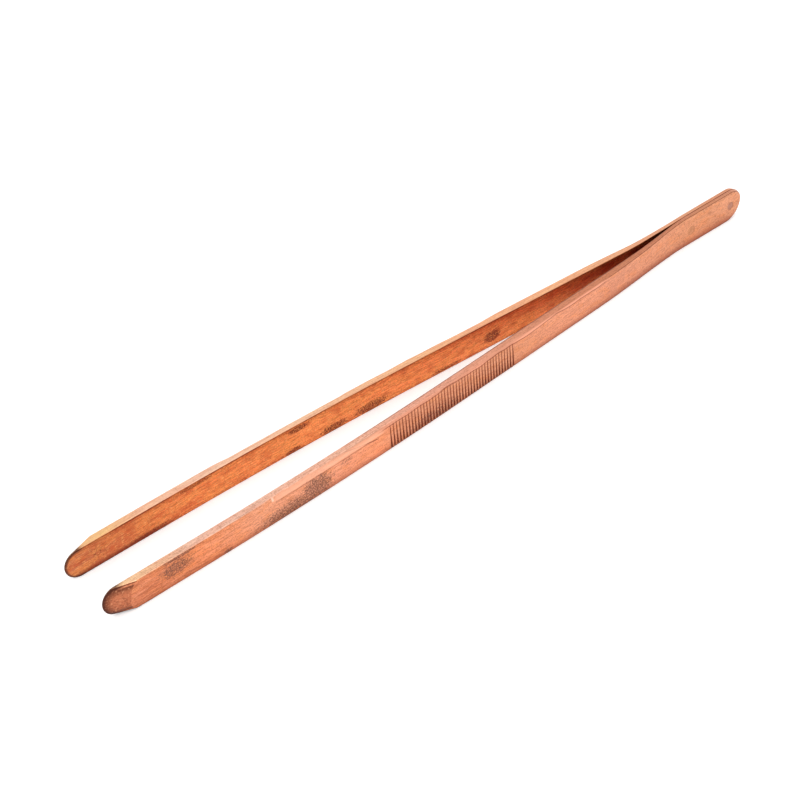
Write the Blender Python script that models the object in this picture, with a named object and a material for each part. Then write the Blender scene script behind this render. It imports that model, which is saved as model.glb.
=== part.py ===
"""Spring tongs made of two copper bars joined by two flush rivets.

The tongs lie on their long edges with the jaws opening sideways.  The frame is in metres:
+X runs from the riveted heel to the jaw tips, +Y is the left arm's side, +Z is up.  The
origin is at the middle of the length, on the plane between the arms, on the resting plane.
Distances called "along" are measured from the heel end towards the tips.
"""

import math

import bmesh
import bpy
from mathutils import Matrix, Vector

MM = 0.001

# Whole object
LENGTH = 230 * MM
BAR_HEIGHT = 8.25 * MM
GAP = 0.3 * MM

# Riveted heel: taller than the bars, its round end fuller below than above
HEEL_HEIGHT = 9.6 * MM
HEEL_MIDDLE = 5.8 * MM
HEEL_LOWER_RUN = 7.0 * MM
HEEL_TAPER = (22 * MM, 46 * MM)
TAPER_STEPS = 4

# Spring bow: flat lap, straight spread, then a long arc back to parallel jaws
LAP_END = 26 * MM
SPREAD_SLOPE = 0.060
BOW_START = 120 * MM
BOW_END = 205 * MM
STATION_STEP = 8 * MM

# Bar thickness, thinned towards the lap so that the arms spring there
LAP_THICKNESS = 1.2 * MM
BAR_THICKNESS = 2.35 * MM
THINNING_START = 28 * MM
THINNING_END = 62 * MM

# Stretches of each arm: the riveted heel, then what moves as the arm flexes about its hinge
FLEX_ALONG = 44 * MM
GRIP_START = 95 * MM
GRIP_END = 146 * MM
FREE_STRETCHES = {
    "spring": (FLEX_ALONG, GRIP_START),
    "grip": (GRIP_START, GRIP_END),
    "jaw": (GRIP_END, LENGTH),
}

# Jaw tip: round nose with one ground bevel on the outer side
NOSE_LAND = 0.35 * MM
BEVEL_RUN = 6.0 * MM
NOSE_SEGMENTS = 16

# Grip serration on both outer faces
GROOVE_COUNT = 43
GROOVE_FIRST = 98 * MM
GROOVE_LAST = 143 * MM
GROOVE_WIDTH = 0.62 * MM
GROOVE_DEPTH = 0.32 * MM

# Rivets through the lap
RIVET_SEGMENTS = 24
RIVETS = {
    "rear_rivet": {"along": 5.2 * MM, "up": 5.1 * MM, "radius": 1.2 * MM},
    "front_rivet": {"along": 22.0 * MM, "up": 4.6 * MM, "radius": 1.45 * MM},
}

# Overshoot of every cutter past the stock it cuts
MARGIN = 2 * MM

LEFT = 1
RIGHT = -1

ARM_COLOUR = (0.745, 0.305, 0.165, 1.0)
RIVET_COLOUR = (0.560, 0.250, 0.150, 1.0)


def x_at(along):
    """Frame X of a distance from the heel end."""
    return along - LENGTH / 2


def inner_offset(along):
    """Distance of an arm's inner face from the plane between the arms."""
    offset = GAP / 2
    offset += SPREAD_SLOPE * max(0.0, min(along, BOW_START) - LAP_END)
    bowed = max(0.0, min(along, BOW_END) - BOW_START)
    bow_length = BOW_END - BOW_START
    offset += SPREAD_SLOPE * (bowed - bowed**2 / (2 * bow_length))
    return offset


def thickness(along):
    """Bar thickness, eased from the thin lap to the full bar."""
    share = (along - THINNING_START) / (THINNING_END - THINNING_START)
    share = max(0.0, min(1.0, share))
    eased = share * share * (3 - 2 * share)
    return LAP_THICKNESS + (BAR_THICKNESS - LAP_THICKNESS) * eased


def outer_offset(along):
    """Distance of an arm's outer face from the plane between the arms."""
    return inner_offset(along) + thickness(along)


def remove_everything():
    """Empty the scene before modelling."""
    for thing in list(bpy.data.objects):
        bpy.data.objects.remove(thing, do_unlink=True)


def copper(name, colour, roughness):
    """Bare copper as a Principled material."""
    material = bpy.data.materials.new(name)
    material.use_nodes = True
    shader = material.node_tree.nodes["Principled BSDF"]
    shader.inputs["Base Color"].default_value = colour
    shader.inputs["Roughness"].default_value = roughness
    shader.inputs["Metallic"].default_value = 1.0
    return material


def object_from(bm, name, origin=Vector((0, 0, 0))):
    """Turn a bmesh in frame coordinates into an object whose origin is at the given point."""
    bmesh.ops.recalc_face_normals(bm, faces=bm.faces)
    mesh = bpy.data.meshes.new(name)
    bm.to_mesh(mesh)
    bm.free()
    mesh.transform(Matrix.Translation(-origin))
    thing = bpy.data.objects.new(name, mesh)
    thing.location = origin
    bpy.context.collection.objects.link(thing)
    return thing


def as_cutter(thing):
    """Mark an object as a guide that only shapes others."""
    thing.hide_render = True
    thing.display_type = "WIRE"
    return thing


def add_boolean(thing, operation, cutter):
    """Cut or intersect an object with a guide."""
    modifier = thing.modifiers.new(f"{operation.lower()} {cutter.name}", "BOOLEAN")
    modifier.operation = operation
    modifier.solver = "EXACT"
    modifier.object = cutter


def extruded(bm, points, step):
    """Add a face through the points and extrude it once; returns the moved vertices and face."""
    face = bm.faces.new([bm.verts.new(point) for point in points])
    return extrude_face(bm, face, step)


def extrude_face(bm, face, step):
    """Extrude one face by a vector; returns the moved vertices and the end face."""
    has_walls = not face.edges[0].is_boundary
    made = bmesh.ops.extrude_face_region(bm, geom=[face])["geom"]
    if has_walls and face.is_valid:
        bmesh.ops.delete(bm, geom=[face], context="FACES_ONLY")
    moved = [item for item in made if isinstance(item, bmesh.types.BMVert)]
    end_face = [item for item in made if isinstance(item, bmesh.types.BMFace)][0]
    bmesh.ops.translate(bm, verts=moved, vec=step)
    return moved, end_face


def stations(start, end):
    """Distances at which the curved bar is sampled between two ends."""
    count = max(1, round((end - start) / STATION_STEP))
    inner = [start + (end - start) * index / count for index in range(1, count)]
    corners = [along for along in (LAP_END, BOW_END) if start < along < end]
    kept = [along for along in inner if all(abs(along - c) > STATION_STEP / 3 for c in corners)]
    # The jaw beyond the bow is one straight stretch, so that its inner face is a single flat.
    kept = [along for along in kept if along < BOW_END]
    return sorted([start, end, *kept, *corners])


def groove_notch(index):
    """Three plan points of one serration groove: first lip, root, second lip."""
    pitch = (GROOVE_LAST - GROOVE_FIRST) / (GROOVE_COUNT - 1)
    root = GROOVE_FIRST + pitch * index
    lips = (root - GROOVE_WIDTH / 2, root + GROOVE_WIDTH / 2)
    return [
        (lips[0], outer_offset(lips[0])),
        (root, outer_offset(root) - GROOVE_DEPTH),
        (lips[1], outer_offset(lips[1])),
    ]


def outer_edge(along_all):
    """Plan points of the outer face, with the serration where the bar has it."""
    clear = GROOVE_WIDTH
    smooth = [a for a in along_all if not GROOVE_FIRST - clear < a < GROOVE_LAST + clear]
    points = [(a, outer_offset(a)) for a in smooth]
    if along_all[0] < GROOVE_FIRST and along_all[-1] > GROOVE_LAST:
        for index in range(GROOVE_COUNT):
            points += groove_notch(index)
    return sorted(points)


def bar_stock(name, side, start, end, origin=Vector((0, 0, 0))):
    """Curved bar between two distances along, taller than the finished bar."""
    along_all = stations(start, end)
    inner = [(x_at(a), side * inner_offset(a), -MARGIN) for a in along_all]
    outer = [(x_at(a), side * offset, -MARGIN) for a, offset in outer_edge(along_all)]
    bm = bmesh.new()
    extruded(bm, inner + outer[::-1], Vector((0, 0, HEEL_HEIGHT + 2 * MARGIN)))
    return object_from(bm, name, origin)


def heel_outline(angles):
    """Top edge as it rises to the heel, then the heel's round end, from top to bottom."""
    points = []
    for step in range(TAPER_STEPS + 1):
        share = step / TAPER_STEPS
        along = HEEL_TAPER[1] + (HEEL_TAPER[0] - HEEL_TAPER[1]) * share
        eased = share * share * (3 - 2 * share)
        points.append((x_at(along), BAR_HEIGHT + (HEEL_HEIGHT - BAR_HEIGHT) * eased))
    for angle in angles:
        reach = HEEL_HEIGHT - HEEL_MIDDLE if angle < 0 else HEEL_MIDDLE
        run = HEEL_HEIGHT / 2 if angle < 0 else HEEL_LOWER_RUN
        x = x_at(0) + run - run * math.cos(angle)
        points.append((x, HEEL_MIDDLE - reach * math.sin(angle)))
    return points


def side_profile(name, side):
    """Guide for the bar's side view: round heel, round nose, and the nose bevel outside."""
    radius = BAR_HEIGHT / 2
    jaw_inner = inner_offset(LENGTH)
    nose_centre = x_at(LENGTH) - radius
    angles = [math.pi * (index / NOSE_SEGMENTS - 0.5) for index in range(NOSE_SEGMENTS + 1)]
    nose = [(nose_centre + radius * math.cos(a), radius + radius * math.sin(a)) for a in angles]
    outline = [Vector((x, -side * MARGIN, z)) for x, z in nose + heel_outline(angles)]
    bm = bmesh.new()
    straight = jaw_inner + NOSE_LAND + MARGIN
    _, face = extruded(bm, outline, Vector((0, side * straight, 0)))
    bevelled = BAR_THICKNESS - NOSE_LAND + MARGIN
    moved, _ = extrude_face(bm, face, Vector((0, side * bevelled, 0)))
    setback = BEVEL_RUN * bevelled / (BAR_THICKNESS - NOSE_LAND)
    nose_vertices = [vertex for vertex in moved if vertex.co.x > 0]
    bmesh.ops.translate(bm, verts=nose_vertices, vec=Vector((-setback, 0, 0)))
    return as_cutter(object_from(bm, name))


def rivet_shape(name, rivet, radius, length):
    """Cylinder across the lap, centred between the arms."""
    bm = bmesh.new()
    centre = Matrix.Translation((x_at(rivet["along"]), 0, rivet["up"]))
    across = Matrix.Rotation(math.pi / 2, 4, "X")
    bmesh.ops.create_cone(
        bm,
        cap_ends=True,
        segments=RIVET_SEGMENTS,
        radius1=radius,
        radius2=radius,
        depth=length,
        matrix=centre @ across,
    )
    return object_from(bm, name)


def shade_round(thing, angle_degrees=40):
    """Smooth shading with sharp edges kept."""
    thing.data.shade_smooth()
    thing.data.set_sharp_from_angle(angle=math.radians(angle_degrees))


def build_heel(name, side, profile, holes):
    """Riveted end of one arm, up to the place where it flexes."""
    heel = bar_stock(name, side, -MARGIN, FLEX_ALONG - GAP / 2)
    add_boolean(heel, "INTERSECT", profile)
    for hole in holes:
        add_boolean(heel, "DIFFERENCE", hole)
    return heel


def build_free_stretch(name, side, stretch, profile):
    """One stretch of an arm beyond the heel, with its origin on the flexing axis."""
    start, end = FREE_STRETCHES[stretch]
    middle = inner_offset(FLEX_ALONG) + thickness(FLEX_ALONG) / 2
    origin = Vector((x_at(FLEX_ALONG), side * middle, BAR_HEIGHT / 2))
    past_end = MARGIN if end == LENGTH else -GAP / 2
    piece = bar_stock(name, side, start + GAP / 2, end + past_end, origin)
    add_boolean(piece, "INTERSECT", profile)
    return piece


def main():
    remove_everything()
    lap_outside = 2 * outer_offset(0)
    holes = []
    for name, rivet in RIVETS.items():
        body = rivet_shape(name, rivet, rivet["radius"], lap_outside)
        body.data.materials.append(copper(f"{name}_copper", RIVET_COLOUR, 0.42))
        shade_round(body)
        hole = rivet_shape(
            f"{name}_hole", rivet, rivet["radius"] + GAP, lap_outside + 2 * MARGIN
        )
        holes.append(as_cutter(hole))
    for word, side in (("left", LEFT), ("right", RIGHT)):
        profile = side_profile(f"{word}_side_profile", side)
        pieces = [build_heel(f"{word}_arm_heel", side, profile, holes)]
        for stretch in FREE_STRETCHES:
            pieces.append(build_free_stretch(f"{word}_arm_{stretch}", side, stretch, profile))
        for piece in pieces:
            piece.data.materials.append(copper(f"{piece.name}_copper", ARM_COLOUR, 0.34))


main()
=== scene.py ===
"""Copper spring tongs: two bowed bars riveted at the heel, filed at the grip, ground at the tips.

Each bar is modelled straight, then thinned, filed and bent, as a smith would make it.  Units are
metres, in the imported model's frame: +X from heel to tips, +Y to the left arm, +Z up.
"""

import math
import random
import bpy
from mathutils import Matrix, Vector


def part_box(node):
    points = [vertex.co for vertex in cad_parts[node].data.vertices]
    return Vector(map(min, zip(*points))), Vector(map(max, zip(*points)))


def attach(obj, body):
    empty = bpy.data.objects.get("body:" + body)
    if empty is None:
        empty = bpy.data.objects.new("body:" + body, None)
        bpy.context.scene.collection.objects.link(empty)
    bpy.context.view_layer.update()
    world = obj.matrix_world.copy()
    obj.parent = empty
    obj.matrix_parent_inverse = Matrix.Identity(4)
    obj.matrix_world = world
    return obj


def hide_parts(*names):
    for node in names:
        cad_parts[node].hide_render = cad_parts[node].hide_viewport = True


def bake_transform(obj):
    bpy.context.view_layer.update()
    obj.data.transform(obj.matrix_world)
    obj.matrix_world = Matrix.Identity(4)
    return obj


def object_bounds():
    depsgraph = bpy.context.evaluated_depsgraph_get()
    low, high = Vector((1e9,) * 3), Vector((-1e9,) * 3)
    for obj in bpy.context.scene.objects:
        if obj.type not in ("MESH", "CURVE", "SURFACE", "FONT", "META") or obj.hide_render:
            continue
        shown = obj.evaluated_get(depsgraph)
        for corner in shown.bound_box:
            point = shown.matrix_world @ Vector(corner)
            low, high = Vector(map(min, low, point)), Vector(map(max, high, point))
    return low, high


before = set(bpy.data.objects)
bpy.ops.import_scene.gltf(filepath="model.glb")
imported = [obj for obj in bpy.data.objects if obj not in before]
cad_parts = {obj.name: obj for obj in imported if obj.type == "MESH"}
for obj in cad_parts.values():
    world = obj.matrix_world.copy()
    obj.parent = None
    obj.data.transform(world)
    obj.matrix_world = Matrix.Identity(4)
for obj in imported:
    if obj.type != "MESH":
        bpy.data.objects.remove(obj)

from types import SimpleNamespace

import bmesh
import bpy
from mathutils import Matrix, Vector, noise

bl_info = {
    "name": "Copper spring tongs",
    "version": (1, 0, 0),
    "blender": (4, 5, 0),
    "location": "3D View > Sidebar > Tongs",
    "description": "Builds riveted copper spring tongs around the packed part",
    "category": "Object",
}

MM = 0.001
CAD_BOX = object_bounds()
LENGTH = CAD_BOX[1].x - CAD_BOX[0].x
HEEL_HEIGHT = CAD_BOX[1].z - CAD_BOX[0].z
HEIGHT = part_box("left_arm_jaw")[1].z
HALF_WIDTH = CAD_BOX[1].y
HEEL_X = CAD_BOX[0].x
JAW_GAP = 8.34 * MM
JAW_THICKNESS = HALF_WIDTH - JAW_GAP

LEFT, RIGHT = 1, -1
PLACE = "bar_place"
NEAR = 1e-6

# How squarely a face looks across the tongs: a bar's side more than the first, a rim's wall
# less than the second
FLAT_SIDE = 0.97
TURNED_AWAY = 0.6

# Stretches of the bar and the places where it is cut across, measured from the heel end
LAP_END = 26 * MM
THINNING = (28 * MM, 62 * MM)
BOW = (120 * MM, 205 * MM)
STATION_STEP = 2.5 * MM
LAP_STATIONS = (12 * MM, 16 * MM, 24 * MM)
ROUND_FACETS = 96

# Kept free between the bars' tips and the end of the CAD box
CLEARANCE = 0.01 * MM

# Heel: taller than the bars, its round end fuller below than above and ground back outside
HEEL_MIDDLE = 5.8 * MM
HEEL_LOWER_RUN = 7.0 * MM
HEEL_SETBACK = 0.75 * MM
HEEL_TAPER = (22 * MM, 46 * MM)

# Nose: ground bevel on the outer side, shorter at the bottom than at the top
NOSE_START = 219 * MM
NOSE_CENTRE_MM = 226.1
NOSE_FULLNESS = 0.8
NOSE_LOW_STEPS = 4
NOSE_LOW_STEP = 0.35 * MM
RIDGE_START = 211 * MM
RIDGE_DEGREES = (9, 28)

# Outer top corner worn by fingers: at the grip in waves, in front of it to a wide slope
CORNER_WEAR = (92 * MM, 184 * MM)
CORNER_FADE = (6 * MM, 4 * MM)
CORNER_GRIP_END = 144 * MM
CORNER_WAVE = 7 * MM
CORNER_NOISE_ROW = 3.7
# How much the rounded corner grows down and inwards: (steady part, part that follows the waves)
CORNER_HELD = ((1.6, 2.2), (1.2, 1.0))
CORNER_SLID = ((5.2, 0.8), (1.4, 0.0))

# Three-cornered file: it cuts deepest at the bottom edge and runs out above the top corner
FILE_RADIUS = 1.0 * MM
FILE_LENGTH = 20 * MM
FILE_NARROWING = 0.62
FILE_REACH = 0.7 * MM
FILE_RUN_OUT = 1.25
FILE_EXTRA_DEPTH = 0.07 * MM
FILE_SIDEWAYS_MM = (-0.04, 0.04)
FILE_OUTWARDS_MM = (-0.035, 0.03)
FILE_SEED = 43

RIVET_FACETS = 48
RIVET_PLAY = 0.03 * MM
RIVET_ROUND = 0.06 * MM
DRILL_LENGTH = 8 * MM


def rivet_facts(node):
    """Centre and radius of a rivet, from its CAD node."""
    low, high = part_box(node)
    return {
        "along": (low.x + high.x) / 2 - HEEL_X,
        "up": (low.z + high.z) / 2,
        "radius": (high.z - low.z) / 2,
    }


RIVETS = {name: rivet_facts(name) for name in ("rear_rivet", "front_rivet")}


def hex_colour(code):
    """Linear RGBA of an sRGB hex colour."""
    parts = [int(code[i : i + 2], 16) / 255 for i in (0, 2, 4)]
    linear = [c / 12.92 if c <= 0.04045 else ((c + 0.055) / 1.055) ** 2.4 for c in parts]
    return (*linear, 1.0)


def length_property(name, description, default):
    """Property for a length in metres."""
    return bpy.props.FloatProperty(
        name=name, description=description, default=default, min=0.0, unit="LENGTH", precision=5
    )


def colour_property(name, description, code):
    """Property for a colour given as sRGB hex."""
    return bpy.props.FloatVectorProperty(
        name=name, description=description, default=hex_colour(code), size=4,
        min=0.0, max=1.0, subtype="COLOR",
    )


class TongsSizes(bpy.types.PropertyGroup):
    """Sizes of the tongs that a user would change."""

    height: length_property("Bar height", "Height of the bars on edge", HEIGHT)
    thickness: length_property("Bar thickness", "Thickness of the free bars", JAW_THICKNESS)
    lap: length_property("Lap thickness", "Thickness of each bar at the rivets", 1.32 * MM)
    seam: length_property("Seam", "Half the gap left between the laps", 0.02 * MM)
    jaw_gap: length_property("Jaw gap", "Inner face of a jaw to the middle", JAW_GAP)
    land: length_property("Nose land", "Thickness left at the very tip", 0.35 * MM)
    bevel_run: length_property("Nose bevel", "Length of the ground bevel", 6.0 * MM)
    inner_round: length_property("Inner edge", "Rounding of the inner edges", 0.22 * MM)
    outer_round: length_property("Outer edge", "Rounding of the outer edges", 0.28 * MM)
    groove_depth: length_property("Groove depth", "Depth of a groove at the bottom", 0.48 * MM)
    groove_first: length_property("First groove", "First groove from the heel", 98 * MM)
    groove_last: length_property("Last groove", "Last groove from the heel", 143 * MM)
    groove_count: bpy.props.IntProperty(
        name="Grooves", description="Grooves in each grip", default=43, min=2, max=80
    )


class TongsColours(bpy.types.PropertyGroup):
    """Colours of the tongs that a user would change."""

    tarnish: colour_property("Tarnish", "Old brown tarnish in hollows", "64291A")
    stain: colour_property("Stain", "Grey brown stain of the outer faces", "684A41")
    rear_rivet: colour_property("Rear rivet", "Dull copper of the rear rivet", "B07C68")
    front_rivet: colour_property("Front rivet", "Dull copper of the front rivet", "C88A64")
    floor: colour_property("Floor", "Studio floor", "F6F6F6")


# ---------------------------------------------------------------- modelling helpers


def edit(thing):
    """Start editing one mesh object alone."""
    if bpy.context.object and bpy.context.object.mode != "OBJECT":
        bpy.ops.object.mode_set(mode="OBJECT")
    bpy.ops.object.select_all(action="DESELECT")
    thing.select_set(True)
    bpy.context.view_layer.objects.active = thing
    bpy.ops.object.mode_set(mode="EDIT")


def stop_editing():
    """Back to object mode."""
    bpy.ops.object.mode_set(mode="OBJECT")


def choose(thing, kind, test):
    """Select only the vertices, edges or faces that pass a test."""
    bpy.context.tool_settings.mesh_select_mode = (kind == "verts", kind == "edges", kind == "faces")
    bpy.ops.mesh.select_all(action="DESELECT")
    shape = bmesh.from_edit_mesh(thing.data)
    shape.normal_update()
    for item in getattr(shape, kind):
        if test(item):
            item.select_set(True)
    shape.select_flush_mode()
    bmesh.update_edit_mesh(thing.data)


def cut_all(point, normal):
    """Cut a loop through the whole mesh where a plane meets it."""
    bpy.ops.mesh.select_all(action="SELECT")
    bpy.ops.mesh.bisect(plane_co=point, plane_no=normal)


def apply_modifier(thing, kind, **settings):
    """Add a modifier and apply it."""
    stop = bpy.context.object.mode == "EDIT"
    if stop:
        stop_editing()
    bpy.ops.object.select_all(action="DESELECT")
    thing.select_set(True)
    bpy.context.view_layer.objects.active = thing
    modifier = thing.modifiers.new(kind, kind)
    for key, value in settings.items():
        setattr(modifier, key, value)
    bpy.ops.object.modifier_apply(modifier=modifier.name)


def cut_away(thing, cutter):
    """Cut one mesh out of another and remove the cutter."""
    apply_modifier(thing, "BOOLEAN", operation="DIFFERENCE", solver="EXACT", object=cutter)
    bpy.data.objects.remove(cutter, do_unlink=True)


def cylinder_across(name, along, radius, depth, facets, y, z):
    """Cylinder whose axis runs across the tongs."""
    bpy.ops.object.select_all(action="DESELECT")
    bpy.ops.mesh.primitive_cylinder_add(
        vertices=facets, radius=radius, depth=depth,
        location=(HEEL_X + along, y, z), rotation=(math.pi / 2, math.pi / facets, 0),
    )
    thing = bpy.context.object
    thing.name = thing.data.name = name
    bpy.ops.object.transform_apply(location=True, rotation=True, scale=True)
    return thing


def shade(thing, angle_degrees=35):
    """Smooth shading that keeps crisp edges and flat faces, and the ground bevel's ridge."""
    edit(thing)
    ridge = [math.radians(degrees) for degrees in RIDGE_DEGREES]
    choose(
        thing,
        "edges",
        lambda e: len(e.link_faces) == 2
        and ridge[0] < e.calc_face_angle() < ridge[1]
        and max(abs(face.normal.y) for face in e.link_faces) > 0.999
        and e.verts[0].co.x > HEEL_X + RIDGE_START,
    )
    bpy.ops.mesh.mark_sharp()
    stop_editing()
    bpy.ops.object.select_all(action="DESELECT")
    thing.select_set(True)
    bpy.context.view_layer.objects.active = thing
    bpy.ops.object.shade_smooth_by_angle(angle=math.radians(angle_degrees))
    apply_modifier(thing, "WEIGHTED_NORMAL", keep_sharp=True)


# ---------------------------------------------------------------- the arms


def ease(share):
    """Smooth step of a share, held between 0 and 1."""
    share = max(0.0, min(1.0, share))
    return share * share * (3 - 2 * share)


def spread_angle(sizes):
    """Angle that each arm is bent away from the middle at the end of the lap."""
    run = BOW[0] - LAP_END + (BOW[1] - BOW[0]) / 2
    return (sizes.jaw_gap - sizes.seam) / run


def bending_slack(sizes):
    """Extra straight length that bending takes up."""
    run = (BOW[0] - LAP_END) / 2 + (BOW[1] - BOW[0]) / 6
    return spread_angle(sizes) ** 2 * run


def stations():
    """Places along the bar where it is cut so that it can thin and bend."""
    count = round((BOW[1] - LAP_END) / STATION_STEP)
    inner = [LAP_END + (BOW[1] - LAP_END) * i / count for i in range(count + 1)]
    return [*LAP_STATIONS, *inner, NOSE_START]


def straight_blank(sizes):
    """Flat bar with full-round ends: a disc whose far half is drawn out to length."""
    radius = sizes.height / 2
    corner = radius / math.cos(math.pi / ROUND_FACETS)
    bar = cylinder_across(
        "left_arm", radius, corner, sizes.thickness, ROUND_FACETS, sizes.thickness / 2, radius
    )
    edit(bar)
    choose(bar, "verts", lambda v: v.co.x > HEEL_X + radius)
    drawn = LENGTH + bending_slack(sizes) - 2 * radius - CLEARANCE
    bpy.ops.transform.translate(value=(drawn, 0, 0))
    for along in stations():
        cut_all((HEEL_X + along, 0, 0), (1, 0, 0))
    return bar


def spread_heel(bar, sizes):
    """Spread the riveted heel upwards, its round end fuller below than above."""
    radius = sizes.height / 2
    above = HEEL_HEIGHT - HEEL_MIDDLE
    stretch = HEEL_HEIGHT / sizes.height
    choose(bar, "verts", lambda v: v.co.x < HEEL_X + radius and v.co.z > radius)
    bpy.ops.transform.translate(value=(0, 0, HEEL_MIDDLE - radius))
    bpy.ops.transform.resize(
        value=(stretch, 1, above / radius), center_override=(HEEL_X, 0, HEEL_MIDDLE)
    )
    choose(bar, "verts", lambda v: v.co.x < HEEL_X + radius and v.co.z < radius)
    bpy.ops.transform.resize(
        value=(HEEL_LOWER_RUN / radius, 1, HEEL_MIDDLE / radius), center_override=(HEEL_X, 0, 0)
    )
    for along in [a for a in stations() if a < HEEL_TAPER[1]]:
        share = ease((HEEL_TAPER[1] - along) / (HEEL_TAPER[1] - HEEL_TAPER[0]))
        x = HEEL_X + along
        choose(bar, "verts", lambda v: abs(v.co.x - x) < 10 * NEAR and v.co.z > radius)
        bpy.ops.transform.translate(value=(0, 0, (HEEL_HEIGHT - sizes.height) * share))
    # The round end is ground back on its outer side, so that both laps make one round heel.
    root = HEEL_X + HEEL_LOWER_RUN
    kept = 1 - HEEL_SETBACK / HEEL_LOWER_RUN
    choose(bar, "verts", lambda v: v.co.x < root and v.co.y > sizes.thickness / 2)
    bpy.ops.transform.resize(value=(kept, 1, 1), center_override=(root, 0, 0))


def grind_nose(bar, sizes):
    """Grind the outer side of the round nose back to a thin land."""
    tip = HEEL_X + LENGTH + bending_slack(sizes)
    centre = tip - sizes.height / 2
    choose(bar, "faces", lambda f: f.calc_center_median().x > HEEL_X + NOSE_START)
    bpy.ops.mesh.bisect(plane_co=(0, sizes.land, 0), plane_no=(0, 1, 0))
    outer = sizes.thickness - NEAR
    choose(bar, "verts", lambda v: v.co.x > centre and v.co.y > outer)
    bpy.ops.transform.translate(value=(-sizes.bevel_run, 0, 0))
    ridge_root = centre - sizes.bevel_run
    bpy.ops.transform.resize(value=(NOSE_FULLNESS, 1, 1), center_override=(ridge_root, 0, 0))
    for step in range(NOSE_LOW_STEPS):
        level = sizes.height / 2 * (1 - step / NOSE_LOW_STEPS)
        choose(
            bar,
            "verts",
            lambda v: v.co.x > ridge_root and v.co.y > outer and v.co.z < level,
        )
        bpy.ops.transform.translate(value=(NOSE_LOW_STEP, 0, 0))


def thin_towards_lap(bar, sizes):
    """Thin the bar from its full size to the lap, station by station."""
    places = [a for a in stations() if THINNING[0] < a < THINNING[1]]
    for along in places:
        share = ease((along - THINNING[0]) / (THINNING[1] - THINNING[0]))
        thick = sizes.lap + (sizes.thickness - sizes.lap) * share
        x = HEEL_X + along
        choose(bar, "verts", lambda v: abs(v.co.x - x) < 10 * NEAR)
        bpy.ops.transform.resize(value=(1, thick / sizes.thickness, 1), center_override=(x, 0, 0))
    choose(bar, "verts", lambda v: v.co.x < HEEL_X + THINNING[0])
    bpy.ops.transform.resize(value=(1, sizes.lap / sizes.thickness, 1), center_override=(0, 0, 0))


def round_edges(bar, sizes):
    """Break the long edges as rolling leaves them, a little more outside than inside."""

    def is_inner_rim(edge):
        sides = [face.normal.y for face in edge.link_faces]
        return min(sides) < -FLAT_SIDE and max(sides) > -TURNED_AWAY

    def is_outer_rim(edge):
        sides = [face.normal.y for face in edge.link_faces]
        return max(sides) > FLAT_SIDE and min(sides) < TURNED_AWAY

    choose(bar, "edges", is_inner_rim)
    bpy.ops.mesh.bevel(offset=sizes.inner_round, segments=3, affect="EDGES", clamp_overlap=False)
    choose(bar, "edges", is_outer_rim)
    bpy.ops.mesh.bevel(offset=sizes.outer_round, segments=3, affect="EDGES", clamp_overlap=False)


def drill_rivet_holes(bar):
    """Drill the lap for the rivets."""
    for name, rivet in RIVETS.items():
        radius = rivet["radius"] + RIVET_PLAY
        drill = cylinder_across(
            f"{name}_drill", rivet["along"], radius, DRILL_LENGTH, RIVET_FACETS, 0, rivet["up"]
        )
        cut_away(bar, drill)


def soften_top_corner(bar, sizes):
    """Wear the outer top corner to a wavering slope where fingers hold and slide."""
    near = 10 * NEAR
    reach = sizes.outer_round + near
    start, end = CORNER_WEAR
    for along in [a for a in stations() if start < a < end]:
        rise = min(1.0, (along - start) / CORNER_FADE[0], (end - along) / CORNER_FADE[1])
        waver = noise.noise(Vector((along / CORNER_WAVE, CORNER_NOISE_ROW, 0)))
        growth = CORNER_HELD if along < CORNER_GRIP_END else CORNER_SLID
        down, inward = (1 + rise * (steady + waved * waver) for steady, waved in growth)
        x = HEEL_X + along
        choose(
            bar,
            "verts",
            lambda v: abs(v.co.x - x) < near
            and v.co.y > sizes.thickness - reach
            and v.co.z > sizes.height - reach,
        )
        corner = (x, sizes.thickness, sizes.height)
        bpy.ops.transform.resize(value=(1, inward, down), center_override=corner)


def three_cornered_file(sizes):
    """Row of slanting three-cornered cuts, one for each groove of the grip."""
    pitch = (sizes.groove_last - sizes.groove_first) / (sizes.groove_count - 1)
    bpy.ops.object.select_all(action="DESELECT")
    bpy.ops.mesh.primitive_cylinder_add(
        vertices=3, radius=FILE_RADIUS, depth=FILE_LENGTH, rotation=(0, 0, math.pi)
    )
    cutter = bpy.context.object
    cutter.name = "three_cornered_file"
    bpy.ops.object.transform_apply(location=True, rotation=True, scale=True)
    edit(cutter)
    bpy.ops.mesh.select_all(action="SELECT")
    bpy.ops.transform.resize(value=(FILE_NARROWING, 1, 1), center_override=(0, 0, 0))
    run_out = sizes.height * FILE_RUN_OUT
    slope = sizes.groove_depth / run_out
    middle = sizes.height / 2
    apex = sizes.thickness - sizes.groove_depth * (1 - middle / run_out)
    bpy.ops.transform.translate(value=(HEEL_X + sizes.groove_first, apex + FILE_RADIUS, middle))
    for sign in (-1, 1):
        choose(cutter, "verts", lambda v: sign * (v.co.z - middle) > 0)
        bpy.ops.transform.translate(value=(0, sign * slope * FILE_LENGTH / 2, 0))
    apply_modifier(
        cutter, "ARRAY", count=sizes.groove_count, use_relative_offset=False,
        use_constant_offset=True, constant_offset_displace=(pitch, 0, 0),
    )
    # Strokes of the file wander a little; the first one and the last three cut deeper.
    edit(cutter)
    chance = random.Random(FILE_SEED)
    for index in range(sizes.groove_count):
        centre = HEEL_X + sizes.groove_first + pitch * index
        choose(cutter, "verts", lambda v: abs(v.co.x - centre) < FILE_REACH)
        sideways = chance.uniform(*FILE_SIDEWAYS_MM) * MM
        outwards = chance.uniform(*FILE_OUTWARDS_MM) * MM
        if index == 0 or index > sizes.groove_count - 4:
            outwards -= FILE_EXTRA_DEPTH
        bpy.ops.transform.translate(value=(sideways, outwards, 0))
    stop_editing()
    return cutter


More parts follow.
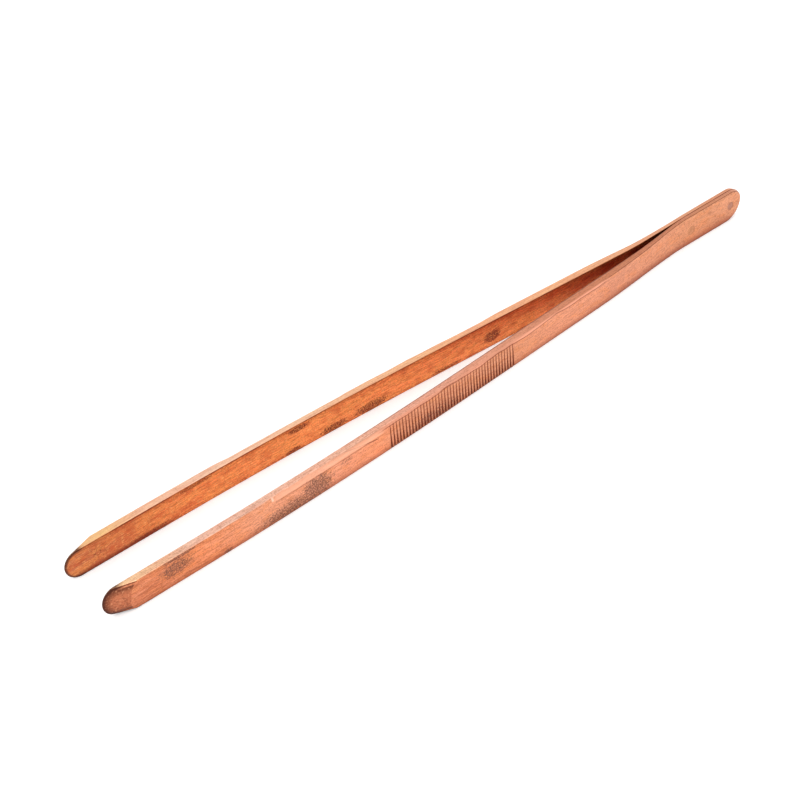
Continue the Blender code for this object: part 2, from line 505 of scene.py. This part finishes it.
def mark_places(bar):
    """Keep each point's place on the straight bar: millimetres from heel, inner face and bottom."""
    places = bar.data.attributes.new(PLACE, "FLOAT_VECTOR", "POINT")
    for vertex, place in zip(bar.data.vertices, places.data):
        place.vector = (vertex.co - Vector((HEEL_X, 0, 0))) / MM


def bend(bar, sizes):
    """Bend the bar away at the lap's end, then back in small steps until the jaw is parallel."""
    angle = spread_angle(sizes)
    spread = [LAP_END + step * STATION_STEP for step in (0, 1)]
    bow = [a for a in stations() if BOW[0] < a <= BOW[1] + NEAR]
    bow = [a - STATION_STEP / 2 for a in bow]
    turns = [(a, angle / len(spread)) for a in spread] + [(a, -angle / len(bow)) for a in bow]
    # Each turn moves the bar beyond it, so the pivots are carried along by the turns before.
    edit(bar)
    carried = Matrix.Identity(4)
    for along, turn in turns:
        start = Vector((HEEL_X + along, 0, 0))
        pivot = carried @ start
        direction = (carried.to_3x3() @ Vector((1, 0, 0))).normalized()
        choose(bar, "verts", lambda v: (v.co - pivot).dot(direction) > NEAR)
        # With no window the operator turns against the usual sense.
        bpy.ops.transform.rotate(
            value=-turn, orient_axis="Z", orient_type="GLOBAL", center_override=pivot
        )
        step = Matrix.Translation(pivot) @ Matrix.Rotation(turn, 4, "Z")
        carried = step @ Matrix.Translation(-pivot) @ carried
    bpy.ops.mesh.select_all(action="SELECT")
    bpy.ops.transform.translate(value=(0, sizes.seam, 0))
    stop_editing()


def mirrored_arm(bar):
    """The right arm: a copy of the left one, turned over to the other side."""
    bpy.ops.object.select_all(action="DESELECT")
    other = bar.copy()
    other.data = bar.data.copy()
    other.name = other.data.name = "right_arm"
    bpy.context.collection.objects.link(other)
    edit(other)
    bpy.ops.mesh.select_all(action="SELECT")
    bpy.ops.transform.resize(value=(1, -1, 1), center_override=(0, 0, 0))
    bpy.ops.mesh.normals_make_consistent(inside=False)
    stop_editing()
    return other


def attach_arm(arm, word, material):
    """Give an arm its metal, hide the CAD parts it stands for and fix its placement into its mesh.
    """
    arm.data.materials.clear()
    arm.data.materials.append(material)
    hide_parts(*[f"{word}_arm_{part}" for part in ("heel", "spring", "grip", "jaw")])
    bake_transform(arm)


# ---------------------------------------------------------------- materials


def add(tree, kind, links, out=0, **settings):
    """Add a node with its settings and links; returns one of its outputs."""
    node = tree.nodes.new(f"ShaderNode{kind}")
    for name, value in settings.items():
        setattr(node, name, value)
    for name, value in links.items():
        if isinstance(value, bpy.types.NodeSocket):
            tree.links.new(value, node.inputs[name])
        else:
            node.inputs[name].default_value = value
    return node.outputs[out]


def mask_of(tree, *terms):
    """Product of masks; a term is a mask, a number, or (value, where it is 0, where it is 1)."""
    product = None
    for term in terms:
        if isinstance(term, tuple):
            value, zero_at, one_at = term
            term = add(
                tree, "MapRange", {"Value": value, "From Min": zero_at, "From Max": one_at},
                interpolation_type="SMOOTHSTEP",
            )
        if product is not None:
            term = add(tree, "Math", {0: product, 1: term}, operation="MULTIPLY")
        product = term
    return product


def band(value, start, end, soft):
    """Two mask terms that are 1 between two limits and fade over a soft width."""
    return (value, start - soft, start + soft), (value, end + soft, end - soft)


def lay(tree, below, above, strength, *terms):
    """Lay one colour, a socket or linear RGBA or sRGB hex, over another through masks."""
    if isinstance(above, str):
        above = hex_colour(above)
    cover = mask_of(tree, *terms, strength)
    return add(tree, "Mix", {0: cover, 6: below, 7: above}, out=2, data_type="RGBA")


def grain(tree, place, scale, low, high, detail=3.0):
    """Noise stretched along the bar, cut to a soft 0 to 1 mask; scale is per millimetre."""
    spread = add(tree, "VectorMath", {0: place, 1: scale}, operation="MULTIPLY")
    raw = add(tree, "TexNoise", {"Vector": spread, "Scale": 1.0, "Detail": detail})
    return mask_of(tree, (raw, low, high))


def colour_run(tree, along, stops):
    """Colour that changes along the bar; stops are (millimetres from the heel, sRGB hex)."""
    share = add(tree, "Math", {0: along, 1: LENGTH / MM}, operation="DIVIDE")
    node = add(tree, "ValToRGB", {"Fac": share}).node
    ramp = node.color_ramp
    while len(ramp.elements) < len(stops):
        ramp.elements.new(1.0)
    for element, (distance, code) in zip(ramp.elements, stops):
        element.position = distance * MM / LENGTH
        element.color = hex_colour(code)
    return node.outputs["Color"]


# Colours along the bar: (millimetres from the heel, sRGB hex)
# On the edges, the pale yellow stops near the tips are a painted highlight on the tips' slanted
# tops.
EDGE_RUNS = {
    "left": (
        (0, "D39070"), (12, "D8946E"), (36, "C8805F"), (54, "CE845F"), (79, "D98F6C"),
        (110, "F0AA8C"), (132, "F5B49A"), (153, "F8C0A4"), (203, "FBCCB4"), (214, "FFCCA4"),
        (226, "FFD7A6"),
    ),
    "right": (
        (0, "D9956F"), (33, "EDB08A"), (71, "FFC090"), (99, "FFBC90"), (120, "FFC898"),
        (159, "FFCEA8"), (190, "FFD0B2"), (208, "FFC8A4"), (218, "FFD090"), (226, "F5C08C"),
    ),
}
# Outer faces: darker than the edges, partly the brushed copper's own tone and partly painted shade
# from facing the floor.
OUTER_RUN = (
    (0, "D59470"), (22, "D8966E"), (54, "DC9676"), (79, "E49C7A"), (100, "DE9A74"),
    (140, "DE946E"), (147, "F79C6E"), (160, "F0A380"), (185, "E8A27E"), (203, "EE915E"),
    (220, "DA8259"), (229, "C98060"),
)
# Inner faces: warm orange oxide, darker towards the heel partly as painted shade in the narrowing
# gap between the arms.
INNER_RUN = (
    (0, "C26238"), (50, "DC7444"), (80, "FC9358"), (125, "FF9658"), (160, "FF9C5A"),
    (192, "F48C50"), (208, "DC7A48"), (230, "C07250"),
)
# Tarnish spots: millimetres from the heel and the bottom, half sizes, strength
OUTER_SPOTS = {
    "left": (
        (210.5, 5.2, 9, 4.6, 1.0), (176, 1.2, 20, 5.6, 1.0), (167.5, 3.4, 9, 6.5, 1.1),
        (158, 5.4, 4.0, 2.6, 0.7), (196, 0.6, 2.4, 1.5, 1.0), (127, 2.0, 16, 4.2, 0.8),
        (209, 7.9, 9, 1.1, 1.4),
        (9, 6.0, 7, 2.6, 0.30), (108, 1.0, 9, 2.0, 0.35),
    ),
    "right": (
        (186, 2.6, 14, 3.0, 0.7), (150, 6.0, 5, 2.5, 0.5), (60, 1.5, 16, 2.0, 0.35),
        (205, 6.0, 6, 2.4, 0.5), (17, 5.5, 8, 2.0, 0.35),
    ),
}
INNER_SPOTS = {
    "left": (
        (150, 3.0, 9, 3.0, 0.5), (200, 6.5, 10, 1.6, 0.6), (100, 5.0, 8, 2.0, 0.5),
        (175, 0.8, 9, 1.4, 0.7),
    ),
    "right": (
        (160, 6.9, 5.5, 1.6, 1.4), (162, 0.6, 5, 1.8, 1.3), (149, 1.2, 8, 2.4, 1.2),
        (137, 1.5, 10, 2.8, 1.2), (95.6, 3.4, 5.0, 3.2, 1.4), (206, 0.8, 16, 2.0, 0.9),
        (221, 4.2, 6, 5.0, 0.6), (192, 7.4, 12, 1.0, 1.0), (112, 0.8, 10, 1.2, 1.0),
    ),
}


# A strong spot fills in, and a weak one shows only in the speckle's peaks.
SPOT_LIFT = 0.27
SPOT_LIMITS = (0.64, 0.76)


def spots_mask(tree, place, spots, speckle):
    """Soft oval spots broken up by a speckle, strongest one first where they overlap."""
    mask = None
    for along, up, half_along, half_up, strength in spots:
        offset = add(tree, "VectorMath", {0: place, 1: (along, 0, up)}, operation="SUBTRACT")
        shrink = (1 / half_along, 0, 1 / half_up)
        scaled = add(tree, "VectorMath", {0: offset, 1: shrink}, operation="MULTIPLY")
        distance = add(tree, "VectorMath", {0: scaled}, out="Value", operation="LENGTH")
        spot = add(
            tree, "MapRange",
            {"Value": distance, "From Min": 1.0, "From Max": 0.15, "To Max": strength},
            interpolation_type="SMOOTHSTEP",
        )
        if mask is not None:
            spot = add(tree, "Math", {0: mask, 1: spot}, operation="MAXIMUM")
        mask = spot
    lifted = add(tree, "Math", {0: mask, 1: SPOT_LIFT, 2: speckle}, operation="MULTIPLY_ADD")
    flakes = grain(tree, place, (2.6, 3.0, 2.6), 0.42, 0.60, 2.0)
    flaking = add(tree, "MapRange", {"Value": flakes, "To Min": 1.0, "To Max": 0.35})
    return mask_of(tree, (lifted, *SPOT_LIMITS), flaking, (mask, 0.05, 0.45))


def bar_places(tree, side):
    """Where a point lies on the straight bar, in millimetres, and which way it faces."""
    place = add(tree, "Attribute", {}, out="Vector", attribute_name=PLACE)
    spot = add(tree, "SeparateXYZ", {0: place}).node.outputs
    normal = add(tree, "NewGeometry", {}, out="Normal")
    facing = add(tree, "SeparateXYZ", {0: normal}).node.outputs
    outward = add(tree, "Math", {0: facing["Y"], 1: float(side)}, operation="MULTIPLY")
    return SimpleNamespace(
        place=place,
        along=spot["X"],
        across=spot["Y"],
        up=spot["Z"],
        outward=outward,
        tipward=facing["X"],
        upward=facing["Z"],
        outer=mask_of(tree, (outward, 0.45, 0.8)),
        inner=mask_of(tree, (outward, -0.45, -0.8)),
        top=mask_of(tree, (facing["Z"], 0.45, 0.8)),
    )


def bar_grains(tree, place):
    """What rolling, brushing and oxide leave on the copper.

    Rolling lines lie about 0.5 mm apart, brushing about 0.2 mm and pits about 0.4 mm.  All three
    are coarser than the real ones, so that they show.
    """
    spread = add(tree, "VectorMath", {0: place, 1: (1.3, 2.0, 2.2)}, operation="MULTIPLY")
    rough_noise = {"Vector": spread, "Scale": 1.0, "Detail": 6.0, "Roughness": 0.85}
    return SimpleNamespace(
        lines=grain(tree, place, (0.10, 2.0, 2.2), 0.42, 0.60),
        worn_lines=grain(tree, place, (0.30, 3.2, 3.2), 0.52, 0.64),
        brushing=grain(tree, place, (0.45, 4.4, 4.8), 0.44, 0.60),
        pits=grain(tree, place, (2.0, 2.6, 2.6), 0.50, 0.64, 2.0),
        flecks=grain(tree, place, (0.9, 2.6, 2.9), 0.53, 0.66, 2.0),
        clouds=grain(tree, place, (0.10, 0.4, 0.45), 0.42, 0.60),
        redder=grain(tree, place, (0.22, 0.5, 0.6), 0.50, 0.64),
        speckle=add(tree, "TexNoise", rough_noise),
    )


def copper_tones_and_painted_light(tree, at, grains, word):
    """Bare pink long edges with a painted highlight near the tips, brushed outer faces partly
    darkened by painted shade, and inner faces under a warm orange oxide, darker towards the heel
    partly by painted shade.
    """
    edge = colour_run(tree, at.along, EDGE_RUNS[word])
    edge = lay(tree, edge, "DE9478", 0.35, grains.lines)
    outside = colour_run(tree, at.along, OUTER_RUN)
    outside = lay(tree, outside, "CE8462", 0.35, grains.lines)
    outside = lay(tree, outside, "F8B08A", 0.30, grains.clouds)
    outside = lay(tree, outside, "E8945C", 0.40, grains.redder)
    inside = colour_run(tree, at.along, INNER_RUN)
    inside = lay(tree, inside, "C05A30", 0.50, grains.lines)
    inside = lay(tree, inside, "FFAA5E", 0.45, grains.clouds)
    inside = lay(tree, inside, "FFC27A", 0.45, grains.flecks)
    inside = lay(tree, inside, "C4552C", 0.45, grains.redder)
    colour = lay(tree, edge, outside, 1.0, at.outer)
    return lay(tree, colour, inside, 1.0, at.inner)


# The layers below are (colour, strength, mask terms), laid in order.  Terms along the bar and up
# it are in millimetres.


def foot_shade_and_age_layers(tree, at, grains, side):
    """Painted shade towards the bottom edge of the outer faces, brushing, pits and streaks of old
    oxide.
    """
    left_on_top = 0.8 if side == LEFT else 0.45
    rubbed_top = add(tree, "MapRange", {"Value": at.top, "To Min": 1.0, "To Max": left_on_top})
    return [
        # Painted shade at the foot of the outer faces, near the floor, darker at the heel
        ("955038", 0.62, (at.up, 2.2, 0.1), at.outer),
        ("A05840", 0.60, (at.up, 3.4, 0.2), (at.along, 75, 40), at.outer),
        ("7A4032", 0.60, (at.up, 0.9, 0.1), (at.along, 110, 60), at.outer),
        # Brushing and pits, which the hand has rubbed off the top edges
        ("A65F40", 0.34, grains.brushing, rubbed_top),
        ("84462F", 0.36, grains.pits, rubbed_top),
        # Dark streaks on the jaws' outer faces and on the inner ones
        ("9A5236", 0.50, (at.along, 182, 200), at.outer, grains.worn_lines),
        ("9A4422", 0.40, grains.worn_lines, at.inner),
    ]


def border_layers(tree, at, grains, side):
    """Dark painted shade along the rounded borders of the inner face, and darker corners along the
    top edge.
    """
    patchy = add(tree, "MapRange", {"Value": grains.clouds, "To Min": 0.9, "To Max": 0.5})
    handled = add(tree, "MapRange", {"Value": at.along, "From Min": 165, "From Max": 140})
    streaks = (grains.speckle, 0.44, 0.60)
    return [
        # Painted shade along the inner face's rounded top, as a line with broken streaks below it,
        # and along its rounded foot
        ("6A2C18", 0.80, (at.up, 7.72, 7.98), at.inner, patchy),
        ("8A3A1C", 0.55, (at.up, 6.7, 7.7), at.inner, streaks),
        ("7A3018", 0.80, (at.up, 1.5, 0.3), at.inner, streaks),
        ("70291C", 0.75, (at.up, 2.0, 0.4), at.inner, (at.along, 196, 208)),
        # The top edge's outer corner where the hand wears it, and its inner one at the grip
        ("744436", 0.85, *band(at.outward, 0.5, 0.85, 0.12), (at.upward, 0.1, 0.4), handled),
        (
            "6E4640", 0.7 if side == LEFT else 0.1,
            (at.across, 0.50, 0.25), at.top, *band(at.along, 50, 150, 8),
        ),
    ]


# Scratch across the outer face: where it starts, in millimetres, and how it climbs
SCRATCH_START = (147.0, 5.8)
SCRATCH_SLOPE = 0.209


def wear_and_highlight_layers(tree, at):
    """The scratch, the rubbed corner in front of the grip, and a painted highlight at that corner's
    front.
    """
    rise = SCRATCH_START[1] - SCRATCH_START[0] * SCRATCH_SLOPE
    line = add(tree, "Math", {0: at.along, 1: SCRATCH_SLOPE, 2: rise}, operation="MULTIPLY_ADD")
    line = add(tree, "Math", {0: at.up, 1: line}, operation="SUBTRACT")
    line = add(tree, "Math", {0: line}, operation="ABSOLUTE")
    slid = mask_of(tree, *band(at.along, 145, 181, 1.5), at.outer)
    return [
        ("5E3324", 0.85, (line, 0.16, 0.06), *band(at.along, 147.3, 158, 0.5), at.outer),
        # Rubbed pale above, a darker line where the rubbing ends, and a painted highlight at its
        # front where the corner turns from rounded to crisp
        ("F6B496", 0.65, (at.up, 6.5, 6.8), slid),
        ("8A5440", 0.45, *band(at.up, 6.15, 6.50, 0.15), slid),
        ("FFD8C0", 0.70, *band(at.along, 181.0, 181.6, 0.3), (at.up, 6.9, 7.3), at.outer),
    ]


def grip_layers(tree, at, sizes, colours):
    """Brown dirt in the grooves, and a pale border above them that wavers along the grip."""
    first, last = sizes.groove_first / MM, sizes.groove_last / MM
    pitch = (last - first) / (sizes.groove_count - 1)
    phase = add(tree, "Math", {0: at.along, 1: first - pitch / 2}, operation="SUBTRACT")
    phase = add(tree, "Math", {0: phase, 1: pitch}, operation="MODULO")
    phase = add(tree, "Math", {0: phase, 1: pitch / 2}, operation="SUBTRACT")
    phase = add(tree, "Math", {0: phase}, operation="ABSOLUTE")
    broad = {"Value": at.up, "From Max": 8.0, "To Min": 0.42, "To Max": 0.24}
    broad = add(tree, "MapRange", broad)
    fine = add(tree, "Math", {0: broad, 1: 0.55}, operation="MULTIPLY")
    fading = {"Value": at.up, "From Min": 7.9, "From Max": 1.0, "To Min": 0.5}
    fading = add(tree, "MapRange", fading)
    facing_out = (at.outward, 0.2, 0.5)
    stretched = add(tree, "Math", {0: at.along, 1: 0.07}, operation="MULTIPLY")
    wave = add(tree, "CombineXYZ", {0: stretched})
    wave = add(tree, "TexNoise", {"Vector": wave, "Scale": 1.0, "Detail": 2.0})
    border = {"Value": wave, "From Min": 0.3, "From Max": 0.7, "To Min": 7.05, "To Max": 8.1}
    border = add(tree, "MapRange", border)
    above = add(tree, "Math", {0: at.up, 1: border}, operation="SUBTRACT")
    at_grip = mask_of(tree, *band(at.along, 60, 146, 3), facing_out)
    return [
        (
            tuple(colours.tarnish), 0.90,
            (phase, broad, fine), *band(at.along, first - 0.5, last + 0.5, 0.05), fading, facing_out,
        ),
        ("EBA284", 0.90, (above, 0.0, 0.15), at_grip),
        ("8A4A35", 0.75, *band(above, -0.16, 0.14, 0.10), at_grip),
    ]


def nose_layers(tree, at, grains):
    """The browner ground bevel, painted shade on the undersides, and a nearly black rim of painted
    shade round the nose.
    """
    # How far a point lies inside the bar's side outline, round nose included
    past = add(tree, "Math", {0: at.along, 1: NOSE_CENTRE_MM}, operation="SUBTRACT")
    past = add(tree, "Math", {0: past, 1: 0.0}, operation="MAXIMUM")
    middle = HEIGHT / 2 / MM
    off_middle = add(tree, "Math", {0: at.up, 1: middle}, operation="SUBTRACT")
    from_spine = add(tree, "CombineXYZ", {0: past, 1: off_middle})
    from_spine = add(tree, "VectorMath", {0: from_spine}, out="Value", operation="LENGTH")
    inset = add(tree, "Math", {0: middle, 1: from_spine}, operation="SUBTRACT")
    ragged = add(tree, "Math", {0: grains.speckle, 1: 1.6, 2: -0.8}, operation="MULTIPLY_ADD")
    ragged = add(tree, "Math", {0: inset, 1: ragged}, operation="ADD")

    at_nose = mask_of(tree, (at.along, 214, 217))
    facet = mask_of(tree, (at.tipward, 0.10, 0.22), at.outer, at_nose)
    flaked = grain(tree, at.place, (1.6, 2.4, 2.4), 0.50, 0.60, 4.0)
    bright = grain(tree, at.place, (1.9, 2.2, 2.0), 0.54, 0.66, 4.0)
    underside = mask_of(tree, (at.upward, -0.15, -0.55))
    nose_shade = "4A2820"
    return [
        # The bevel: brown, darkened by painted shade towards its rim, flaked, with bright metal
        # between
        ("B86C4C", 0.85, facet),
        ("5E3427", 0.80, facet, (ragged, 2.5, 0.7)),
        ("7A4230", 0.55, facet, flaked),
        ("E09A72", 0.45, facet, bright),
        # Painted shade on the bars' undersides, and darker painted shade on the underside, end and
        # rim of the nose
        ("8A4A36", 0.65, underside),
        (nose_shade, 0.90, underside, at_nose),
        (nose_shade, 0.90, (at.tipward, 0.45, 0.75), at_nose),
        (nose_shade, 0.85, (ragged, 0.9, 0.3), (at.along, 224.0, 226.0)),
    ]


def bar_copper(word, side, sizes, colours):
    """Rolled C110 copper, handled and lightly oxidised.

    Rolling leaves fine lines along the bar.  The long edges stay bare and pale pink, the outer
    faces are brushed and stained, and the inner faces keep a warm orange oxide.  Painted shade
    partly darkens the outer faces and the inner faces towards the heel, and darkens the feet of
    the outer faces, the undersides, the inner faces' rounded borders and the nose's rim; painted
    highlights brighten the tips' tops and a nick on the top corner.
    """
    material = bpy.data.materials.new(f"rolled_copper_{word}_bar")
    material.use_nodes = True
    tree = material.node_tree
    shader = tree.nodes["Principled BSDF"]
    at = bar_places(tree, side)
    grains = bar_grains(tree, at.place)
    outer_spots = spots_mask(tree, at.place, OUTER_SPOTS[word], grains.speckle)
    outer_spots = mask_of(tree, outer_spots, at.outer)
    inner_spots = spots_mask(tree, at.place, INNER_SPOTS[word], grains.speckle)
    spot_layers = [
        (tuple(colours.stain), 0.90, outer_spots),
        (tuple(colours.tarnish), 0.95, inner_spots, at.inner),
    ]
    colour = copper_tones_and_painted_light(tree, at, grains, word)
    for tint, strength, *terms in (
        *foot_shade_and_age_layers(tree, at, grains, side),
        *spot_layers,
        *border_layers(tree, at, grains, side),
        *wear_and_highlight_layers(tree, at),
        *grip_layers(tree, at, sizes, colours),
        *nose_layers(tree, at, grains),
    ):
        colour = lay(tree, colour, tint, strength, *terms)
    tree.links.new(colour, shader.inputs["Base Color"])
    shader.inputs["Metallic"].default_value = 1.0
    rough = add(tree, "MapRange", {"Value": grains.clouds, "To Min": 0.30, "To Max": 0.42})
    rough = add(tree, "Math", {0: outer_spots, 1: 0.2, 2: rough}, operation="MULTIPLY_ADD")
    tree.links.new(rough, shader.inputs["Roughness"])
    relief = add(tree, "Math", {0: grains.brushing, 1: grains.pits}, operation="ADD")
    bump = add(tree, "Bump", {"Strength": 0.35, "Distance": 0.03 * MM, "Height": relief})
    tree.links.new(bump, shader.inputs["Normal"])
    return material


def rivet_copper(name, dulled):
    """Annealed copper rivet, hammered flush and sanded: duller and browner than the bars."""
    material = bpy.data.materials.new(name)
    material.use_nodes = True
    tree = material.node_tree
    shader = tree.nodes["Principled BSDF"]
    place = add(tree, "TexCoord", {}, out="Object")
    spread = add(tree, "VectorMath", {0: place, "Scale": 1 / MM}, operation="SCALE")
    mottle = grain(tree, spread, (1.6, 1.6, 1.6), 0.40, 0.62, 4.0)
    colour = lay(tree, tuple(dulled), "B07858", 0.5, mottle)
    tree.links.new(colour, shader.inputs["Base Color"])
    shader.inputs["Metallic"].default_value = 1.0
    rough = add(tree, "MapRange", {"Value": mottle, "To Min": 0.38, "To Max": 0.55})
    tree.links.new(rough, shader.inputs["Roughness"])
    bump = add(tree, "Bump", {"Strength": 0.2, "Distance": 0.03 * MM, "Height": mottle})
    tree.links.new(bump, shader.inputs["Normal"])
    return material


def floor_paper(colours):
    """Matt white background paper."""
    material = bpy.data.materials.new("matt_background_paper")
    material.use_nodes = True
    tree = material.node_tree
    shader = tree.nodes["Principled BSDF"]
    place = add(tree, "TexCoord", {}, out="Object")
    # Fibres about 1 mm long, coarser than real paper's so that they show.
    fibre = add(tree, "TexNoise", {"Vector": place, "Scale": 900.0, "Detail": 2.0})
    colour = lay(tree, tuple(colours.floor), "FBFBFB", 1.0, fibre)
    tree.links.new(colour, shader.inputs["Base Color"])
    shader.inputs["Roughness"].default_value = 0.9
    shader.inputs["Specular IOR Level"].default_value = 0.1
    shader.inputs["Emission Color"].default_value = (1, 1, 1, 1)
    shader.inputs["Emission Strength"].default_value = 0.2
    return material


# ---------------------------------------------------------------- operators


class TONGS_OT_arms(bpy.types.Operator):
    """Model both arms of the tongs."""

    bl_idname = "tongs.make_arms"
    bl_label = "Make the arms"

    def execute(self, context):
        sizes = context.scene.tongs_sizes
        colours = context.scene.tongs_colours
        left = straight_blank(sizes)
        spread_heel(left, sizes)
        grind_nose(left, sizes)
        thin_towards_lap(left, sizes)
        round_edges(left, sizes)
        soften_top_corner(left, sizes)
        stop_editing()
        drill_rivet_holes(left)
        cut_away(left, three_cornered_file(sizes))
        mark_places(left)
        bend(left, sizes)
        right = mirrored_arm(left)
        for arm, word, side in ((left, "left", LEFT), (right, "right", RIGHT)):
            shade(arm)
            attach_arm(arm, word, bar_copper(word, side, sizes, colours))
        return {"FINISHED"}


class TONGS_OT_rivets(bpy.types.Operator):
    """Model the two flush rivets through the lap."""

    bl_idname = "tongs.make_rivets"
    bl_label = "Make the rivets"

    def execute(self, context):
        sizes = context.scene.tongs_sizes
        colours = context.scene.tongs_colours
        dulled = {"rear_rivet": colours.rear_rivet, "front_rivet": colours.front_rivet}
        outside = sizes.seam + sizes.lap
        for name, facts in RIVETS.items():
            rivet = cylinder_across(
                name, facts["along"], facts["radius"], 2 * outside, RIVET_FACETS, 0, facts["up"]
            )
            edit(rivet)
            choose(rivet, "edges", lambda e: abs(e.verts[0].co.y - e.verts[1].co.y) < NEAR)
            bpy.ops.mesh.bevel(offset=RIVET_ROUND, segments=3, affect="EDGES")
            stop_editing()
            shade(rivet)
            rivet.data.materials.append(rivet_copper(f"hammered_copper_{name}", dulled[name]))
            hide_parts(name)
            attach(rivet, "heel")
        return {"FINISHED"}


# Stage: paper just under the tongs, and a large soft lamp above
FLOOR_SIZE = 6.0
FLOOR_DROP = 0.02 * MM
SOFTBOX_WATTS = 9.0
SOFTBOX_SIZE = 1.6
SOFTBOX_PLACE = (0.3, 0.4, 1.6)

# Camera: aims at the middle of the tongs, then stands a little aside and turns a little
CAMERA_AZIMUTH = math.radians(143.563)
CAMERA_ELEVATION = math.radians(39.198)
CAMERA_ROLL = math.radians(-5.697)
CAMERA_DISTANCE = 461.023 * MM
CAMERA_ASIDE = -12.955 * MM
CAMERA_BELOW = -7.413 * MM
CAMERA_LENS = 77.706


def place_camera():
    """Camera over the jaws' left side, looking down along the tongs."""
    across, down = math.cos(CAMERA_ELEVATION), math.sin(CAMERA_ELEVATION)
    back = Vector(
        (math.sin(CAMERA_AZIMUTH) * across, -math.cos(CAMERA_AZIMUTH) * across, down)
    )
    right = Vector((0, 0, 1)).cross(back).normalized()
    up = back.cross(right)
    cosine, sine = math.cos(CAMERA_ROLL), math.sin(CAMERA_ROLL)
    right, up = cosine * right + sine * up, cosine * up - sine * right
    target = Vector((0, 0, HEIGHT / 2))
    spot = target + CAMERA_ASIDE * right + CAMERA_BELOW * up + CAMERA_DISTANCE * back
    camera = bpy.data.objects.new("studio_camera", bpy.data.cameras.new("studio_camera"))
    camera.data.lens = CAMERA_LENS
    camera.data.sensor_width = 36.0
    camera.data.clip_start = 0.01
    camera.data.clip_end = 20.0
    turn = Matrix((right, up, back)).transposed().to_4x4()
    camera.matrix_world = Matrix.Translation(spot) @ turn
    bpy.context.scene.collection.objects.link(camera)
    bpy.context.scene.camera = camera


class TONGS_OT_stage(bpy.types.Operator):
    """Set the floor, the light and the camera."""

    bl_idname = "tongs.make_stage"
    bl_label = "Make the stage"

    def execute(self, context):
        bpy.ops.object.select_all(action="DESELECT")
        bpy.ops.mesh.primitive_plane_add(size=FLOOR_SIZE, location=(0, 0, -FLOOR_DROP))
        floor = bpy.context.object
        floor.name = "floor"
        floor.data.materials.append(floor_paper(context.scene.tongs_colours))
        world = bpy.data.worlds.new("studio_white")
        world.use_nodes = True
        sky = world.node_tree.nodes["Background"]
        sky.inputs["Color"].default_value = (1, 1, 1, 1)
        sky.inputs["Strength"].default_value = 1.0
        context.scene.world = world
        softbox = bpy.data.lights.new("overhead_softbox", "AREA")
        softbox.energy = SOFTBOX_WATTS
        softbox.size = SOFTBOX_SIZE
        lamp = bpy.data.objects.new("overhead_softbox", softbox)
        lamp.location = SOFTBOX_PLACE
        lamp.rotation_mode = "QUATERNION"
        lamp.rotation_quaternion = lamp.location.to_track_quat("Z", "Y")
        context.scene.collection.objects.link(lamp)
        context.scene.view_settings.view_transform = "Standard"
        place_camera()
        return {"FINISHED"}


class TONGS_PT_panel(bpy.types.Panel):
    """Buttons and settings for the tongs."""

    bl_idname = "TONGS_PT_panel"
    bl_label = "Copper spring tongs"
    bl_space_type = "VIEW_3D"
    bl_region_type = "UI"
    bl_category = "Tongs"

    def draw(self, context):
        for operator in OPERATORS:
            self.layout.operator(operator.bl_idname)
        for group in (context.scene.tongs_sizes, context.scene.tongs_colours):
            for name in group.bl_rna.properties.keys():
                if name not in ("rna_type", "name"):
                    self.layout.prop(group, name)


OPERATORS = (TONGS_OT_arms, TONGS_OT_rivets, TONGS_OT_stage)
CLASSES = (TongsSizes, TongsColours, *OPERATORS, TONGS_PT_panel)


def register():
    """Add the tongs' settings, operators and panel to Blender."""
    for item in CLASSES:
        bpy.utils.register_class(item)
    bpy.types.Scene.tongs_sizes = bpy.props.PointerProperty(type=TongsSizes)
    bpy.types.Scene.tongs_colours = bpy.props.PointerProperty(type=TongsColours)


def unregister():
    """Take them away again."""
    del bpy.types.Scene.tongs_colours
    del bpy.types.Scene.tongs_sizes
    for item in reversed(CLASSES):
        bpy.utils.unregister_class(item)


def main():
    """Build the tongs."""
    register()
    bpy.ops.tongs.make_arms()
    bpy.ops.tongs.make_rivets()
    bpy.ops.tongs.make_stage()


if __name__ == "__main__":
    main()
